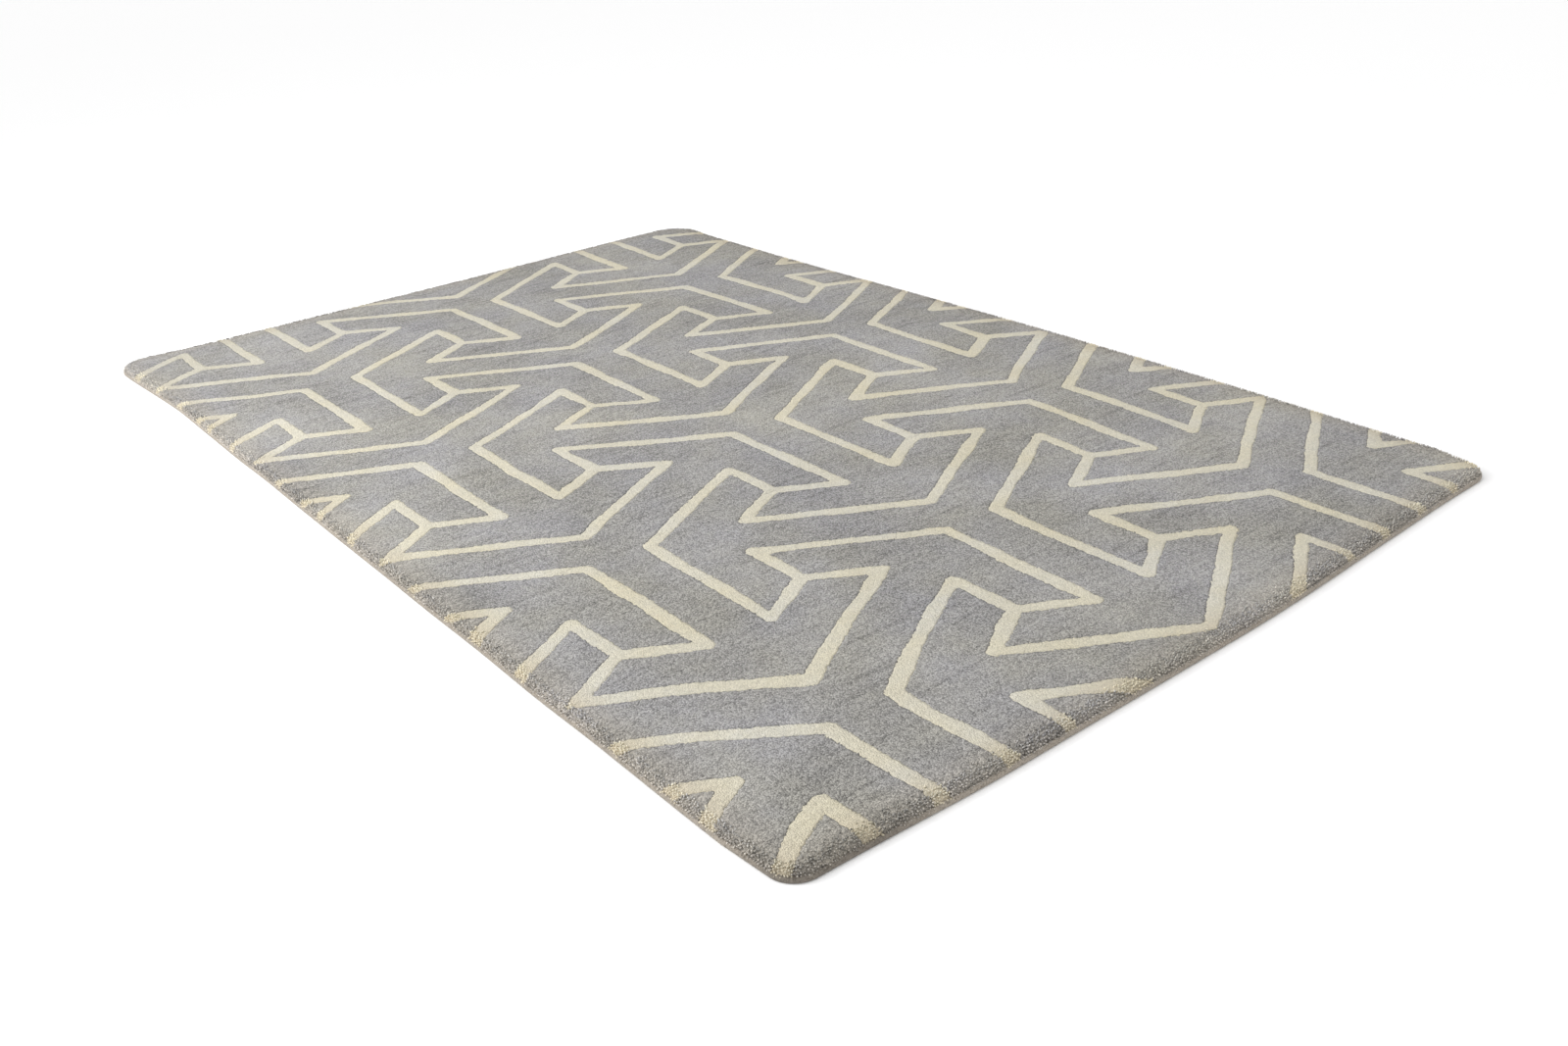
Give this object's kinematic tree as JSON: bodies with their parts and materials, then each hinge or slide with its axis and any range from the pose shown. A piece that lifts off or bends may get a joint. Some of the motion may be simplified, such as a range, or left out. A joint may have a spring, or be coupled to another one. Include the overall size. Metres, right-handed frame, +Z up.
{
  "type": "area rug",
  "caption": "Rectangular hand-tufted wool area rug with round corners, grey cut pile and an ivory line pattern of interlocking three-armed tiles, bound edges and a cloth back.",
  "frame": {"origin": "middle of the underside, on the floor that the rug lies on", "axes": "+X across the rug's short side, +Y along its long side, +Z up out of the pile"},
  "size_m": [1.524, 2.371, 0.018],
  "materials": {
    "grey_wool": "matte",
    "ivory_wool": "matte",
    "tufting_cloth": "matte",
    "latex": "satin",
    "scrim_net": "matte",
    "back_canvas": "matte",
    "binding_tape": "matte"
  },
  "bodies": {
    "root": {"ivory_line_pile": "ivory_wool", "ivory_end_front_1": "ivory_wool", "ivory_end_front_2": "ivory_wool", "ivory_end_left_1": "ivory_wool", "ivory_end_front_3": "ivory_wool", "ivory_end_left_2": "ivory_wool", "ivory_end_front_4": "ivory_wool", "ivory_end_left_3": "ivory_wool", "ivory_end_front_5": "ivory_wool", "ivory_end_front_6": "ivory_wool", "ivory_end_right_1": "ivory_wool", "ivory_end_left_4": "ivory_wool", "ivory_end_right_2": "ivory_wool", "ivory_end_right_3": "ivory_wool", "ivory_end_back_1": "ivory_wool", "ivory_end_right_4": "ivory_wool", "grey_field_c1r3": "grey_wool", "grey_field_c1r4": "grey_wool", "grey_field_c1r5": "grey_wool", "grey_field_c1r6": "grey_wool", "grey_field_c1r7": "grey_wool", "grey_field_c2r3": "grey_wool", "grey_field_c2r3b": "grey_wool", "grey_field_c2r4": "grey_wool", "grey_field_c2r4b": "grey_wool", "grey_field_c2r5": "grey_wool", "grey_field_c2r5b": "grey_wool", "grey_field_c2r6": "grey_wool", "grey_field_c2r6b": "grey_wool", "grey_field_c2r7": "grey_wool", "grey_field_c3r3": "grey_wool", "grey_field_c3r4": "grey_wool", "grey_field_c3r5": "grey_wool", "grey_field_c3r6": "grey_wool", "grey_field_c3r7": "grey_wool", "grey_field_c3r8": "grey_wool", "grey_field_c4r3": "grey_wool", "grey_field_c4r3b": "grey_wool", "grey_field_c4r4": "grey_wool", "grey_field_c4r4b": "grey_wool", "grey_field_c4r5": "grey_wool", "grey_field_c4r5b": "grey_wool", "grey_field_c4r6": "grey_wool", "grey_field_c4r6b": "grey_wool", "grey_field_c4r7": "grey_wool", "grey_field_c5r3": "grey_wool", "grey_field_c5r4": "grey_wool", "grey_field_c5r5": "grey_wool", "grey_field_c5r6": "grey_wool", "grey_field_c5r7": "grey_wool", "primary_backing": "tufting_cloth", "latex_coat": "latex", "reinforcing_scrim": "scrim_net", "backing_cloth": "back_canvas", "edge_binding_back": "binding_tape", "edge_binding_left": "binding_tape", "edge_binding_front": "binding_tape", "edge_binding_right": "binding_tape"}
  },
  "joints": []
}
